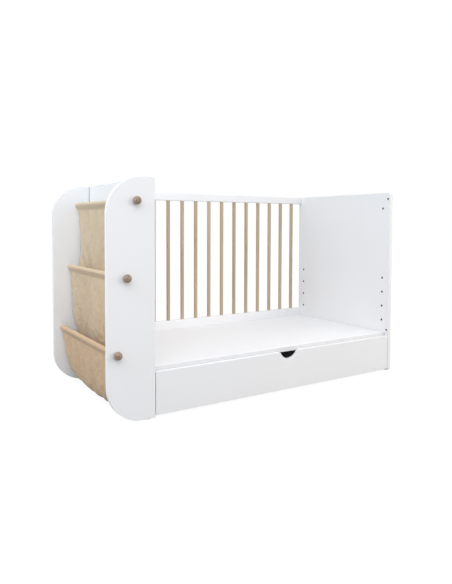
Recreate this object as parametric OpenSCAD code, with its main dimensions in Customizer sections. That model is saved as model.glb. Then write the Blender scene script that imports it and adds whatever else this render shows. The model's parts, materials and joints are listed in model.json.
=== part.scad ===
// Convertible crib, shown open at the front, with a fabric book shelf on its head
// end and a drawer on roller runners under the sleeping deck.
// The origin is on the floor in the middle of the crib. X runs along the crib
// from the head end to the foot end, Y from the front to the back, Z up.

/* [Panels] */
// Height of the head panel and the shelf sides above the floor
head_h = 857; // [760:1:1000]
// How much lower the foot panel and the back rail are
foot_drop = 14; // [0:1:40]
// Depth over the panels, front to back
depth = 656; // [560:1:800]
// Clear length between the head panel and the foot panel
inner_l = 1210; // [900:1:1500]
// Thickness of the panels
board_t = 18; // [15:0.5:22]
// Corner radius of the foot panel
foot_corner_r = 6; // [2:1:20]

/* [Book shelf end] */
// Width of a shelf side, from its round edge to its straight edge
side_w = 178; // [170:1:240]
// Radius of the two outer corners of a shelf side
side_r = 130; // [60:1:150]
// Diameter of the rods that carry the pockets
rod_d = 15; // [12:0.5:18]
// Diameter of the rods that anchor the pockets at the back
anchor_d = 12; // [10:0.5:14]
// Depth of the blind holes for the anchor rods
anchor_hole = 10; // [6:0.5:12]
// Diameter of a ball knob
knob_d = 30; // [26:0.5:36]
// Depth of the hole for the rod in a knob
knob_hole = 11; // [8:0.5:14]
// How far a ball knob is cut flat where it meets the panel
knob_flat = 3; // [2:0.5:4]

/* [Pockets] */
// Distance of the top rod from the inner face of the head panel
rod_top_out = 72; // [66:1:80]
// Distance of the top rod below the top of the head panel
rod_top_down = 82; // [67:1:97]
// Distance of the middle rod from the inner face of the head panel
rod_middle_out = 109; // [104:1:116]
// Height of the middle rod
rod_middle_z = 507; // [495:1:520]
// Distance of the bottom rod from the inner face of the head panel
rod_bottom_out = 144; // [138:1:150]
// Height of the bottom rod
rod_bottom_z = 244; // [235:1:255]
// Height of the anchor rod of the top pocket
anchor_top_z = 475; // [460:1:490]
// Height of the anchor rod of the middle pocket
anchor_middle_z = 205; // [195:1:215]
// Height of the anchor rod of the bottom pocket
anchor_bottom_z = 46; // [42:1:60]
// Thickness of the doubled pocket fabric
fabric_t = 1.8; // [1.4:0.1:2.2]
// Height of the stitched hem below the middle of a rod
hem_h = 22; // [18:1:30]
// Gap between a pocket and each shelf side
fabric_gap = 4; // [2:0.5:12]
// Depth of the soft folds in the fabric
fold_h = 3.2; // [0:0.1:5]
// Width of one soft fold
fold_w = 206; // [150:1:300]
// How much higher the free edges of a pocket hang than its middle
edge_lift = 26; // [0:1:30]

/* [Back side] */
// Thickness of the back rails
rail_t = 22; // [18:0.5:26]
// Height of the top rail
top_rail_h = 36; // [30:1:60]
// Top edge of the bottom rail above the floor
bottom_rail_z = 223; // [210:1:240]
// Height of the bottom rail
bottom_rail_h = 80; // [70:1:85]
// Rounding of the rails' long edges
rail_edge_r = 4; // [1:0.5:6]
// Number of bars
bar_count = 15; // [15:1:16]
// Distance of the first and last bar from the panels
bar_end = 69.5; // [40:0.5:90]
// Diameter of a bar
bar_d = 18; // [14:0.5:20]
// Diameter of the tenon at each end of a bar
tenon_d = 12; // [8:0.5:13]
// Length of a tenon
tenon_l = 14; // [8:0.5:20]

/* [Sleeping deck] */
// Top of the deck above the floor
deck_z = 180; // [178:1:200]
// Thickness of the deck board
deck_t = 18; // [15:0.5:19]
// Gap between the deck board and the boards around it
deck_gap = 1; // [0.3:0.1:3]
// Width of the cleats under the deck
cleat_w = 18; // [15:1:25]
// Height of the cleats under the deck
cleat_h = 20; // [16:1:22]
// Distance of the stiffening batten behind the front of the crib
batten_y = 150; // [80:1:250]

/* [Fixing holes] */
// Radius of the holes that set the height of the deck
height_hole_r = 5; // [3:0.25:6]
// Depth of those holes
height_hole_l = 12; // [8:0.5:14]
// Distance of the hole columns from the front and back of the panels
height_hole_in = 41; // [35:1:60]
// Height of the lowest hole of a column
height_hole_z = 239; // [225:1:250]
// Distance from one hole to the next
height_hole_pitch = 67; // [50:1:80]
// Number of holes in a column
height_hole_count = 4; // [2:1:6]
// Distance of the single hole for the safety strap below the top of the foot panel
strap_hole_down = 73; // [60:1:140]
// Height of the lower bolt hole for the front side
side_bolt_low_z = 193; // [188:1:210]
// Distance of the upper bolt hole below the top of the foot panel
side_bolt_down = 28; // [25:1:50]
// Radius of those bolt holes in the foot panel
side_hole_r = 5; // [3.5:0.25:6]
// Radius of a rail bolt
bolt_r = 3; // [2.5:0.25:4]
// Length of a rail bolt inside the rail
bolt_reach = 42; // [35:1:60]
// Radius of a rail bolt's flat head
bolt_head_r = 7; // [6:0.5:8]
// Height of that head
bolt_head_h = 2.5; // [2:0.5:4]
// Radius of a barrel nut
nut_r = 5; // [5:0.25:6]
// Radius of the cam discs that hold the shelf sides
cam_r = 7.5; // [6:0.25:8]
// Thickness of the cam discs
cam_t = 12; // [10:0.5:13]
// Distance of a cam disc from the panel edge
cam_in = 34; // [24:1:40]
// Height of the lower cam discs
cam_low_z = 140; // [100:1:170]
// Distance of the upper cam discs below the upper rail bolt
cam_under_bolt = 105; // [80:1:180]
// Height of the lowest dowels
dowel_low_z = 69; // [50:1:85]
// Height of the middle dowels
dowel_middle_z = 473; // [465:1:490]
// Distance of the highest dowels below the upper rail bolt
dowel_under_bolt = 34; // [20:1:50]
// Radius of the wooden dowels
dowel_r = 4; // [3:0.25:5]
// Length of the wooden dowels
dowel_l = 30; // [24:1:36]

/* [Drawer] */
// Gap between the drawer front and the floor
drawer_floor_gap = 10; // [6:1:12]
// How far the drawer front laps over the edge of the deck
drawer_lap = 4; // [2:0.5:6]
// Gap at each end of the drawer front
drawer_end_gap = 3; // [2:0.5:5]
// Width of the finger notch
notch_w = 98; // [72:1:110]
// Depth of the finger notch
notch_h = 31; // [20:1:34]
// How far the notch is from the middle of the front, towards the foot end
notch_shift = 9; // [-20:1:20]
// Thickness of the drawer sides and back
drawer_side_t = 12; // [12:0.5:16]
// Height of the drawer sides and back
drawer_side_h = 105; // [80:1:108]
// Gap between the drawer and the back of the crib
drawer_rear_gap = 68; // [40:1:120]
// Thickness of the drawer bottom
drawer_bottom_t = 4; // [3:0.5:6]
// Depth of the grooves for the drawer bottom
groove_d = 6; // [4:0.5:7]
// Height of the groove above the edge of the drawer side
groove_up = 10; // [8:0.5:14]

/* [Roller runners] */
// Gap between a drawer side and the panel beside it
runner_gap = 12.5; // [12.5:0.5:14]
// How much shorter the runners are than the drawer sides
runner_short = 20; // [10:1:60]
// Thickness of the runner steel
steel_t = 1.2; // [1:0.1:1.4]
// Height of the track for the rear roller above the floor
track_z = 26; // [24:1:30]
// Inner height of the track
track_h = 24; // [24:0.5:26]
// Depth of the track, measured from the panel
track_w = 9.5; // [9:0.1:10]
// Radius of the front roller
front_roller_r = 10; // [9:0.25:10.5]
// Radius of the rear roller
rear_roller_r = 11; // [10:0.25:11]
// Width of a roller
roller_w = 6.6; // [6:0.1:7]
// Radius of a roller axle
axle_r = 3; // [2.5:0.25:4]
// Radius of the rivet head that keeps a roller on its axle
rivet_r = 4.5; // [4.5:0.25:5.5]
// Thickness of that rivet head
rivet_t = 0.8; // [0.6:0.1:1]
// Distance of a roller axle from the end of its runner
axle_in = 14; // [14:0.5:18]
// Length of a runner that stays in its track when the drawer is open
runner_hold = 140; // [140:1:250]

/* [Fits] */
// Radial clearance of a roller on its axle
axle_clear = 0.05; // [0.03:0.01:0.1]
// Clearance between a roller and what rolls on it
roll_clear = 0.3; // [0.2:0.05:0.5]
// Radial clearance of rods, tenons, dowels and bolts in their holes
hole_clear = 0.15; // [0.1:0.05:0.4]
// Clearance of the drawer bottom in its grooves
groove_clear = 0.2; // [0.1:0.05:0.5]
// Gap between a fabric hem and the rod in it
hem_clear = 0.4; // [0.3:0.1:1]

/* [Feet] */
// Height of the floor glides
glide_h = 3; // [2:0.5:5]
// Radius of the floor glides
glide_r = 7; // [5:0.5:7.5]
// Distance of a glide from the end of the panel above it
glide_in = 24; // [14:1:40]

/* [Hidden] */
$fn = 48;
white = [0.94, 0.94, 0.93];
inside_white = [0.9, 0.9, 0.89];
beech = [0.78, 0.66, 0.53];
knob_wood = [0.66, 0.52, 0.4];
canvas = [0.82, 0.74, 0.61];
zinc = [0.68, 0.69, 0.7];
nylon = [0.93, 0.93, 0.9];

// Main faces
overall_l = side_w + inner_l + board_t;
head_x = -overall_l / 2 + side_w;
foot_x = head_x + inner_l;
foot_h = head_h - foot_drop;
front_y = -depth / 2;
rear_y = depth / 2;
head_outer_x = head_x - board_t;
pocket_y0 = front_y + board_t;
pocket_y1 = rear_y - board_t;
rail_y = rear_y - rail_t / 2;

// Back side
top_rail_z = foot_h - top_rail_h;
bar_x0 = head_x + bar_end;
bar_pitch = (inner_l - 2 * bar_end) / (bar_count - 1);
tenon_room = 1;
rail_bolt_top_z = foot_h - top_rail_h / 2;
rail_bolt_zs = [side_bolt_low_z, rail_bolt_top_z];
side_bolt_zs = [side_bolt_low_z, foot_h - side_bolt_down];
end_clear = 0.5;

// Deck
deck_under = deck_z - deck_t;
deck_front_y = front_y + board_t + 2 * deck_gap;
deck_rear_y = rear_y - rail_t - deck_gap;
rear_cleat_y = rear_y - rail_t - cleat_w;

// Drawer
drawer_front_x0 = head_x + drawer_end_gap;
drawer_front_l = inner_l - 2 * drawer_end_gap;
drawer_top_z = deck_under + drawer_lap;
drawer_y = front_y + board_t;
drawer_l = depth - board_t - drawer_rear_gap;
side_x0 = head_x + runner_gap;
side_x1 = foot_x - runner_gap;
side_z = track_z + 4;
bottom_z = side_z + groove_up;
drawer_back_y = drawer_y + drawer_l - drawer_side_t;
// Circle through the two ends and the lowest point of the notch
notch_r = (notch_w * notch_w / 4 + notch_h * notch_h) / (2 * notch_h);

// Runners, in a section where x grows from the panel towards the drawer
runner_y = drawer_y + deck_gap;
runner_l = drawer_l - runner_short;
drawer_travel = runner_l - runner_hold;
track_front = 2 * axle_in;
front_axle_y = runner_y + axle_in;
front_axle_z = track_z + front_roller_r + roll_clear;
flange_z = front_axle_z + front_roller_r + roll_clear;
rear_axle_y = runner_y + runner_l - axle_in - 2;
rear_axle_z = track_z + rear_roller_r + roll_clear;
leg_x = runner_gap - steel_t;
front_roller_x = steel_t + 0.6;
rear_roller_x = leg_x - 0.6 - roller_w;
flange_end = rear_axle_y - rear_roller_r - 4;
stop_h = 3;
// The open drawer's rear roller meets the stop here
stop_y = rear_axle_y - drawer_travel - 0.5
    - sqrt(pow(rear_roller_r, 2) - pow(rear_roller_r + roll_clear - stop_h, 2));
screw_r = 2;
screw_head_r = 3.5;
screw_l = 14;
screw_in = 60;
runner_screw_ys = [runner_y + screw_in, runner_y + runner_l / 2, runner_y + runner_l - screw_in];
runner_screw_z = track_z + track_h - 5;

// Fixings of the shelf sides and the rails
cam_zs = [cam_low_z, rail_bolt_top_z - cam_under_bolt];
dowel_zs = [dowel_low_z, dowel_middle_z, rail_bolt_top_z - dowel_under_bolt];
cam_bolt_r = 3;
cam_bolt_grip = 11;
stud_reach = 21;
nut_wall = 4;

// Pockets: rod position, anchor height, and the two handles of the curve that the
// fabric follows from the hem to the anchor. A handle is a distance out from the inner
// face of the head panel and a drop, below the rod for the first, below the anchor for
// the second.
anchor_out = board_t + anchor_d / 2 + 2 * hem_clear + fabric_t;
top_pocket = [[rod_top_out, head_h - rod_top_down], anchor_top_z, [69, 149], [65, 79]];
middle_pocket = [[rod_middle_out, rod_middle_z], anchor_middle_z, [110, 117], [95, 120]];
bottom_pocket = [[rod_bottom_out, rod_bottom_z], anchor_bottom_z, [137, 164], [120, 90]];
pockets = [top_pocket, middle_pocket, bottom_pocket];
hem_back = 4;
tail_h = 6;
loop_steps = 9;
fall_steps = 13;
anchor_steps = 6;
fabric_columns = 19;

function two_digits(n) = n < 10 ? str("0", n) : str(n);
function bar_name(n) = str("bar_", two_digits(n));

// Placing helpers

// Extrudes an outline in X and Z along Y, from y0 over a length
module along_y(y0, length) {
    translate([0, y0 + length, 0])
        rotate([90, 0, 0])
            linear_extrude(length)
                children();
}

// Extrudes an outline in Y and Z along X, from x0 over a length
module along_x(x0, length) {
    translate([x0, 0, 0])
        rotate([90, 0, 90])
            linear_extrude(length)
                children();
}

// A straight round rod or hole along X, from x0
module rod_x(x0, y, z, r, length) {
    translate([x0, y, z])
        rotate([0, 90, 0])
            cylinder(h = length, r = r);
}

// A straight round rod or hole along Y, from y0
module rod_y(x, y0, z, r, length) {
    translate([x, y0 + length, z])
        rotate([90, 0, 0])
            cylinder(h = length, r = r);
}

module block(x0, x1, y0, y1, z0, z1) {
    translate([x0, y0, z0])
        cube([x1 - x0, y1 - y0, z1 - z0]);
}

module rounded_rect(x0, x1, z0, z1, r) {
    translate([x0 + r, z0])
        square([x1 - x0 - 2 * r, z1 - z0]);
    translate([x0, z0 + r])
        square([x1 - x0, z1 - z0 - 2 * r]);
    for (x = [x0 + r, x1 - r], z = [z0 + r, z1 - r])
        translate([x, z])
            circle(r);
}

// Mirrors a piece of the head end onto the foot end
module at_foot_end() {
    translate([head_x + foot_x, 0, 0])
        mirror([1, 0, 0])
            children();
}

// Panels

// Blind holes in the inner face of an end panel, seen at the head end
module height_holes() {
    for (y = [front_y + height_hole_in, rear_y - height_hole_in])
        for (n = [0:height_hole_count - 1])
            rod_x(head_x - height_hole_l, y, height_hole_z + n * height_hole_pitch,
                height_hole_r, height_hole_l + 1);
    rod_x(head_x - height_hole_l, front_y + height_hole_in, foot_h - strap_hole_down,
        height_hole_r, height_hole_l + 1);
}

// Pilot holes of the cabinet runner screws in an end panel, seen at the head end
module runner_pilots() {
    for (y = runner_screw_ys)
        rod_x(head_x - screw_l + steel_t - 1, y, runner_screw_z, screw_r + hole_clear, screw_l + 1);
}

module headboard() {
    color(white)
        difference() {
            block(head_outer_x, head_x, pocket_y0, pocket_y1, glide_h, head_h);
            height_holes();
            runner_pilots();
            cam_pockets();
            panel_dowel_shapes(dowel_r + hole_clear, dowel_l + 1);
        }
}

module footboard() {
    color(white)
        difference() {
            along_x(foot_x, board_t)
                rounded_rect(front_y, rear_y, glide_h, foot_h, foot_corner_r);
            at_foot_end() {
                height_holes();
                runner_pilots();
            }
            for (z = side_bolt_zs)
                rod_x(foot_x - 1, front_y + rail_t / 2, z, side_hole_r, board_t + 2);
            rail_bolt_shapes(hole_clear);
            for (z = rail_bolt_zs)
                rod_x(foot_x + board_t - bolt_head_h, rail_y, z, bolt_head_r + hole_clear,
                    bolt_head_h + 1);
        }
}

// Straight on the crib's side, with two large round corners on the outside
module shelf_side_outline() {
    outer_x = head_x - side_w;
    height = head_h - glide_h;
    intersection() {
        translate([outer_x, glide_h])
            square([side_w, height]);
        union() {
            translate([outer_x + side_r, glide_h])
                square([side_w - side_r, height]);
            translate([outer_x, glide_h + side_r])
                square([side_w, height - 2 * side_r]);
            for (z = [glide_h + side_r, head_h - side_r])
                translate([outer_x + side_r, z])
                    circle(side_r, $fn = 96);
        }
    }
}

// A shelf side with its rod holes and the blind holes for the fixings
module shelf_side(y0) {
    difference() {
        along_y(y0, board_t)
            shelf_side_outline();
        for (pocket = pockets)
            rod_y(head_x - pocket[0][0], y0 - 1, pocket[0][1], rod_d / 2 + hole_clear, board_t + 2);
        anchor_rod_shapes(anchor_d / 2 + hole_clear, anchor_hole);
        cam_bolt_shapes(hole_clear);
        panel_dowel_shapes(dowel_r + hole_clear, dowel_l + 1);
    }
}

module front_shelf_side() {
    color(white)
        difference() {
            shelf_side(front_y);
            // Holes for the front side, in the straight edge
            for (z = side_bolt_zs)
                rod_x(head_x - stud_reach, front_y + rail_t / 2, z, bolt_r + hole_clear,
                    stud_reach + 1);
        }
}

module rear_shelf_side() {
    color(white)
        difference() {
            shelf_side(rear_y - board_t);
            rail_bolt_shapes(hole_clear);
        }
}

// Fixings

module cam_discs() {
    color(zinc)
        for (z = cam_zs, y = [pocket_y0 + cam_in, pocket_y1 - cam_in])
            difference() {
                rod_x(head_outer_x, y, z, cam_r, cam_t);
                // Cross slot for the screwdriver
                block(head_outer_x - 1, head_outer_x + 2, y - 1, y + 1, z - 5, z + 5);
                block(head_outer_x - 1, head_outer_x + 2, y - 5, y + 5, z - 1, z + 1);
            }
}

module cam_pockets() {
    for (z = cam_zs, y = [pocket_y0 + cam_in, pocket_y1 - cam_in])
        rod_x(head_outer_x - 1, y, z, cam_r + hole_clear, cam_t + 1.2);
    cam_bolt_shapes(hole_clear);
}

// The steel bolts between the shelf sides and the cam discs
module cam_bolt_shapes(extra) {
    length = cam_bolt_grip + cam_in - cam_r;
    for (z = cam_zs) {
        rod_y(head_x - board_t / 2, pocket_y0 - cam_bolt_grip - extra, z, cam_bolt_r + extra,
            length + extra);
        rod_y(head_x - board_t / 2, pocket_y1 - cam_in + cam_r, z, cam_bolt_r + extra,
            length + extra);
    }
}

module cam_bolts() {
    color(zinc)
        cam_bolt_shapes(0);
}

module panel_dowel_shapes(r, length) {
    for (z = dowel_zs, y = [pocket_y0, pocket_y1]) {
        // A third of the dowel is in the shelf side, the rest in the head panel
        into = dowel_l / 3 + (length - dowel_l) / 2;
        rod_y(head_x - board_t / 2, y < 0 ? y - into : y + into - length, z, r, length);
    }
}

module panel_dowels() {
    color(beech)
        panel_dowel_shapes(dowel_r, dowel_l);
}

// Bolts of the back rails: at the foot end they pass through the panel, at the head
// end they are studs in the edge of the rear shelf side
module rail_bolt_shapes(extra) {
    for (z = rail_bolt_zs) {
        rod_x(head_x - stud_reach - extra, rail_y, z, bolt_r + extra,
            stud_reach + bolt_reach + 2 * extra);
        rod_x(foot_x - bolt_reach - extra, rail_y, z, bolt_r + extra,
            bolt_reach + board_t - bolt_head_h + 2 * extra);
    }
}

// The bolts' flat heads lie flush in the outer face of the foot panel
module rail_bolts() {
    socket_r = 2.3;
    socket_h = 1.5;
    head_x0 = foot_x + board_t - bolt_head_h;
    color(zinc) {
        rail_bolt_shapes(0);
        for (z = rail_bolt_zs)
            difference() {
                rod_x(head_x0, rail_y, z, bolt_head_r, bolt_head_h);
                translate([head_x0 + bolt_head_h - socket_h, rail_y, z])
                    rotate([0, 90, 0])
                        cylinder(h = socket_h + 1, r = socket_r, $fn = 6);
            }
    }
}

// Barrel nuts, put in from the outer face of the rails, where they are out of sight
module barrel_nut_shapes(r, sunk) {
    for (x = [head_x + bolt_reach - 2 * nut_r, foot_x - bolt_reach + 2 * nut_r], z = rail_bolt_zs)
        rod_y(x, rear_y - rail_t + nut_wall, z, r, rail_t - nut_wall - sunk);
}

module barrel_nuts() {
    color(zinc)
        difference() {
            barrel_nut_shapes(nut_r, end_clear);
            rail_bolt_shapes(hole_clear / 2);
        }
}

module floor_glides() {
    color(nylon) {
        for (y = [front_y + board_t / 2, rear_y - board_t / 2])
            translate([head_x - glide_in, y, 0])
                cylinder(h = glide_h, r = glide_r);
        for (y = [front_y + glide_in, 0, rear_y - glide_in])
            translate([foot_x + board_t / 2, y, 0])
                cylinder(h = glide_h, r = glide_r);
    }
}

// Back side with its bars

module bar_holes(z0, z1) {
    for (n = [0:bar_count - 1])
        translate([bar_x0 + n * bar_pitch, rail_y, z0])
            cylinder(h = z1 - z0, r = tenon_d / 2 + hole_clear);
}

module back_top_rail() {
    color(white)
        difference() {
            along_x(head_x, inner_l)
                rounded_rect(rear_y - rail_t, rear_y, top_rail_z, foot_h, rail_edge_r);
            bar_holes(top_rail_z - 1, top_rail_z + tenon_l + tenon_room);
            rail_bolt_shapes(hole_clear);
            barrel_nut_shapes(nut_r + hole_clear, -1);
        }
}

module back_bottom_rail() {
    color(white)
        difference() {
            along_x(head_x, inner_l)
                rounded_rect(rear_y - rail_t, rear_y, bottom_rail_z - bottom_rail_h,
                    bottom_rail_z, rail_edge_r);
            bar_holes(bottom_rail_z - tenon_l - tenon_room, bottom_rail_z + 1);
            rail_bolt_shapes(hole_clear);
            barrel_nut_shapes(nut_r + hole_clear, -1);
        }
}

// A turned bar: a round rod with a thinner tenon at each end
module bar(n) {
    length = top_rail_z - bottom_rail_z;
    color(beech)
        translate([bar_x0 + (n - 1) * bar_pitch, rail_y, bottom_rail_z])
            rotate_extrude()
                polygon([
                    [0, -tenon_l], [tenon_d / 2, -tenon_l], [tenon_d / 2, 0], [bar_d / 2, 0],
                    [bar_d / 2, length], [tenon_d / 2, length],
                    [tenon_d / 2, length + tenon_l], [0, length + tenon_l]
                ]);
}

// Sleeping deck

module deck_board() {
    color(white)
        block(head_x + deck_gap, foot_x - deck_gap, deck_front_y, deck_rear_y, deck_under, deck_z);
}

module end_cleat() {
    block(head_x, head_x + cleat_w, deck_front_y + deck_gap, rear_cleat_y - deck_gap / 2,
        deck_under - cleat_h, deck_under);
}

module deck_cleat_head() {
    color(inside_white)
        end_cleat();
}

module deck_cleat_foot() {
    color(inside_white)
        at_foot_end()
            end_cleat();
}

module deck_cleat_rear() {
    color(inside_white)
        block(head_x + deck_gap, foot_x - deck_gap, rear_cleat_y, rear_y - rail_t,
            deck_under - cleat_h, deck_under);
}

module deck_batten() {
    color(inside_white)
        block(head_x + cleat_w, foot_x - cleat_w, front_y + batten_y,
            front_y + batten_y + cleat_w, deck_under - cleat_h, deck_under);
}

// Book shelf: rods, knobs and fabric pockets

module pocket_rod(pocket) {
    color(beech)
        rod_y(head_x - pocket[0][0], front_y - knob_hole + end_clear, pocket[0][1], rod_d / 2,
            depth + 2 * (knob_hole - end_clear));
}

module rod_top() {
    pocket_rod(top_pocket);
}

module rod_middle() {
    pocket_rod(middle_pocket);
}

module rod_bottom() {
    pocket_rod(bottom_pocket);
}

// The rods that anchor the pockets, reaching a given depth into the shelf sides
module anchor_rod_shapes(r, reach) {
    for (pocket = pockets)
        rod_y(head_x - anchor_out, pocket_y0 - reach, pocket[1], r,
            pocket_y1 - pocket_y0 + 2 * reach);
}

module anchor_rods() {
    color(beech)
        anchor_rod_shapes(anchor_d / 2, anchor_hole - end_clear);
}

// A ball with a flat seat and a blind hole, its seat at the origin, pointing up
module ball_knob() {
    r = knob_d / 2;
    hole_r = rod_d / 2 + hole_clear;
    rotate_extrude()
        difference() {
            translate([0, r - knob_flat])
                intersection() {
                    circle(r, $fn = 64);
                    translate([0, knob_flat - r])
                        square([r, 2 * r]);
                }
            translate([0, -1])
                square([hole_r, knob_hole + 1]);
        }
}

// A knob on the front (-1) or the rear (1) end of a pocket's rod
module knob(pocket, face) {
    color(knob_wood)
        translate([head_x - pocket[0][0], face * depth / 2, pocket[0][1]])
            rotate([-90 * face, 0, 0])
                ball_knob();
}

module knob_top_front() {
    knob(top_pocket, -1);
}

module knob_middle_front() {
    knob(middle_pocket, -1);
}

module knob_bottom_front() {
    knob(bottom_pocket, -1);
}

module knob_top_rear() {
    knob(top_pocket, 1);
}

module knob_middle_rear() {
    knob(middle_pocket, 1);
}

module knob_bottom_rear() {
    knob(bottom_pocket, 1);
}

function bezier(p, t) = pow(1 - t, 3) * p[0] + 3 * pow(1 - t, 2) * t * p[1]
    + 3 * (1 - t) * t * t * p[2] + pow(t, 3) * p[3];

function on_circle(c, r, angle) = c + r * [cos(angle), sin(angle)];

// Middle line of a pocket's fabric in X and Z: up behind the rod, over it and down to
// the seam, down the front, round the bottom and over the anchor rod. The third value
// of a point is how freely the fabric can fold there.
function fabric_line(pocket) =
    let (
        rod = [head_x - pocket[0][0], pocket[0][1]],
        anchor = [head_x - anchor_out, pocket[1]],
        rod_loop = rod_d / 2 + hem_clear + fabric_t / 2,
        anchor_loop = anchor_d / 2 + hem_clear + fabric_t / 2,
        seam = rod + [hem_back, -hem_h],
        reach = norm(seam - rod),
        lean = atan2(seam[1] - rod[1], seam[0] - rod[0]),
        tangent = acos(rod_loop / reach),
        tail = seam + [fabric_t + hem_clear, -tail_h],
        handles = [seam, [head_x - pocket[2][0], rod[1] - pocket[2][1]],
            [head_x - pocket[3][0], anchor[1] - pocket[3][1]], anchor - [anchor_loop, 0]]
    )
    concat(
        [[tail[0], tail[1], 0]],
        [for (n = [0:loop_steps])
            let (q = on_circle(rod, rod_loop, lean + tangent + n / loop_steps * (360 - 2 * tangent)))
            [q[0], q[1], 0]],
        [for (n = [0:fall_steps])
            let (t = n / fall_steps, q = bezier(handles, t))
            [q[0], q[1], pow(sin(180 * t), 2)]],
        [for (n = [1:anchor_steps])
            let (q = on_circle(anchor, anchor_loop, 180 - n / anchor_steps * 230))
            [q[0], q[1], 0]]
    );

function unit(v) = v / norm(v);

// Soft folds across the fabric, leaning a little towards the middle as they fall
function fold(y, z) = fold_h * (0.7 * cos(360 * (y + z / 6) / fold_w)
    + 0.3 * cos(360 * (y - z / 3) / (fold_w * 0.57)));

// How far the sagging part of a pocket is raised, from one free edge (0) to the other (1)
function lift(across) = edge_lift * pow(2 * across - 1, 2);

// The fabric as a closed sheet with its thickness, its folds and its sag
module fabric(pocket) {
    line = fabric_line(pocket);
    rows = len(line);
    last = rows - 1;
    columns = fabric_columns;
    y0 = pocket_y0 + fabric_gap;
    width = pocket_y1 - pocket_y0 - 2 * fabric_gap;
    normals = [for (i = [0:last])
        let (a = line[max(i - 1, 0)], b = line[min(i + 1, last)], t = unit([b[0] - a[0], b[1] - a[1]]))
        [t[1], -t[0]]];
    points = [for (side = [1, -1], i = [0:last], j = [0:columns - 1])
        let (
            across = j / (columns - 1),
            y = y0 + width * across,
            shift = side * fabric_t / 2 + line[i][2] * fold(y, line[i][1])
        )
        [
            line[i][0] + normals[i][0] * shift,
            y,
            line[i][1] + normals[i][1] * shift + line[i][2] * lift(across)
        ]];
    back = rows * columns;
    function at(i, j) = i * columns + j;
    function quad(a, b, c, d) = [[a, b, c], [a, c, d]];
    function strip(corners) = [for (four = corners, face = quad(four[0], four[1], four[2], four[3])) face];
    cells = [for (i = [0:last - 1], j = [0:columns - 2]) [i, j]];
    front_faces = strip([for (c = cells)
        [at(c[0], c[1]), at(c[0] + 1, c[1]), at(c[0] + 1, c[1] + 1), at(c[0], c[1] + 1)]]);
    back_faces = strip([for (c = cells)
        [back + at(c[0], c[1] + 1), back + at(c[0] + 1, c[1] + 1),
            back + at(c[0] + 1, c[1]), back + at(c[0], c[1])]]);
    side_faces = strip([for (i = [0:last - 1], j = [0, columns - 1])
        let (four = [at(i, j), back + at(i, j), back + at(i + 1, j), at(i + 1, j)])
        j == 0 ? four : [four[3], four[2], four[1], four[0]]]);
    end_faces = strip([for (i = [0, last], j = [0:columns - 2])
        let (four = [at(i, j + 1), back + at(i, j + 1), back + at(i, j), at(i, j)])
        i == 0 ? four : [four[3], four[2], four[1], four[0]]]);
    color(canvas)
        polyhedron(points, concat(front_faces, back_faces, side_faces, end_faces));
}

module pocket_top() {
    fabric(top_pocket);
}

module pocket_middle() {
    fabric(middle_pocket);
}

module pocket_bottom() {
    fabric(bottom_pocket);
}

// Roller runners. Each is drawn at the head end; the foot end is its mirror image.

module runner_screw_shapes(extra) {
    for (y = runner_screw_ys) {
        rod_x(head_x - screw_l + steel_t, y, runner_screw_z, screw_r + extra, screw_l);
        rod_x(head_x, y, runner_screw_z, screw_head_r + extra, steel_t);
    }
}

// Steel track on the end panel with the axle of the front roller
module cabinet_runner() {
    x0 = head_x;
    y1 = runner_y + runner_l;
    difference() {
        union() {
            block(x0, x0 + steel_t, runner_y, y1, track_z - steel_t, track_z + track_h + steel_t);
            block(x0, x0 + track_w, runner_y + track_front, y1, track_z - steel_t, track_z);
            block(x0, x0 + track_w, runner_y, y1, track_z + track_h, track_z + track_h + steel_t);
            // Tab that stops the rear roller when the drawer is closed
            block(x0, x0 + track_w, y1 - steel_t, y1, track_z - steel_t, track_z + track_h);
            // Bump that stops it when the drawer is open
            block(x0, x0 + track_w, stop_y - 4, stop_y, track_z - steel_t, track_z + stop_h);
        }
        for (y = runner_screw_ys)
            rod_x(x0 - 1, y, runner_screw_z, screw_head_r + hole_clear, steel_t + 2);
    }
    rod_x(x0, front_axle_y, front_axle_z, axle_r, front_roller_x + roller_w + 0.4);
    rod_x(x0 + steel_t, front_axle_y, front_axle_z, rivet_r, front_roller_x - steel_t - 0.3);
    rod_x(x0 + front_roller_x + roller_w + 0.3, front_axle_y, front_axle_z, rivet_r, rivet_t);
}

module cabinet_runner_head() {
    color(zinc)
        cabinet_runner();
}

module cabinet_runner_foot() {
    color(zinc)
        at_foot_end()
            cabinet_runner();
}

module runner_screws() {
    color(zinc) {
        runner_screw_shapes(0);
        at_foot_end()
            runner_screw_shapes(0);
    }
}

// A nylon roller with a crowned rim and a bore, its axis along X from x0
module roller(x0, y, z, r) {
    crown = 0.4;
    translate([x0, y, z])
        rotate([0, 90, 0])
            rotate_extrude()
                polygon([
                    [axle_r + axle_clear, 0], [r - crown, 0], [r, crown],
                    [r, roller_w - crown], [r - crown, roller_w], [axle_r + axle_clear, roller_w]
                ]);
}

module front_roller() {
    roller(head_x + front_roller_x, front_axle_y, front_axle_z, front_roller_r);
}

module front_roller_head() {
    color(nylon)
        front_roller();
}

module front_roller_foot() {
    color(nylon)
        at_foot_end()
            front_roller();
}

module rear_roller() {
    roller(head_x + rear_roller_x, rear_axle_y, rear_axle_z, rear_roller_r);
}

module rear_roller_head() {
    color(nylon)
        rear_roller();
}

module rear_roller_foot() {
    color(nylon)
        at_foot_end()
            rear_roller();
}

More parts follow.
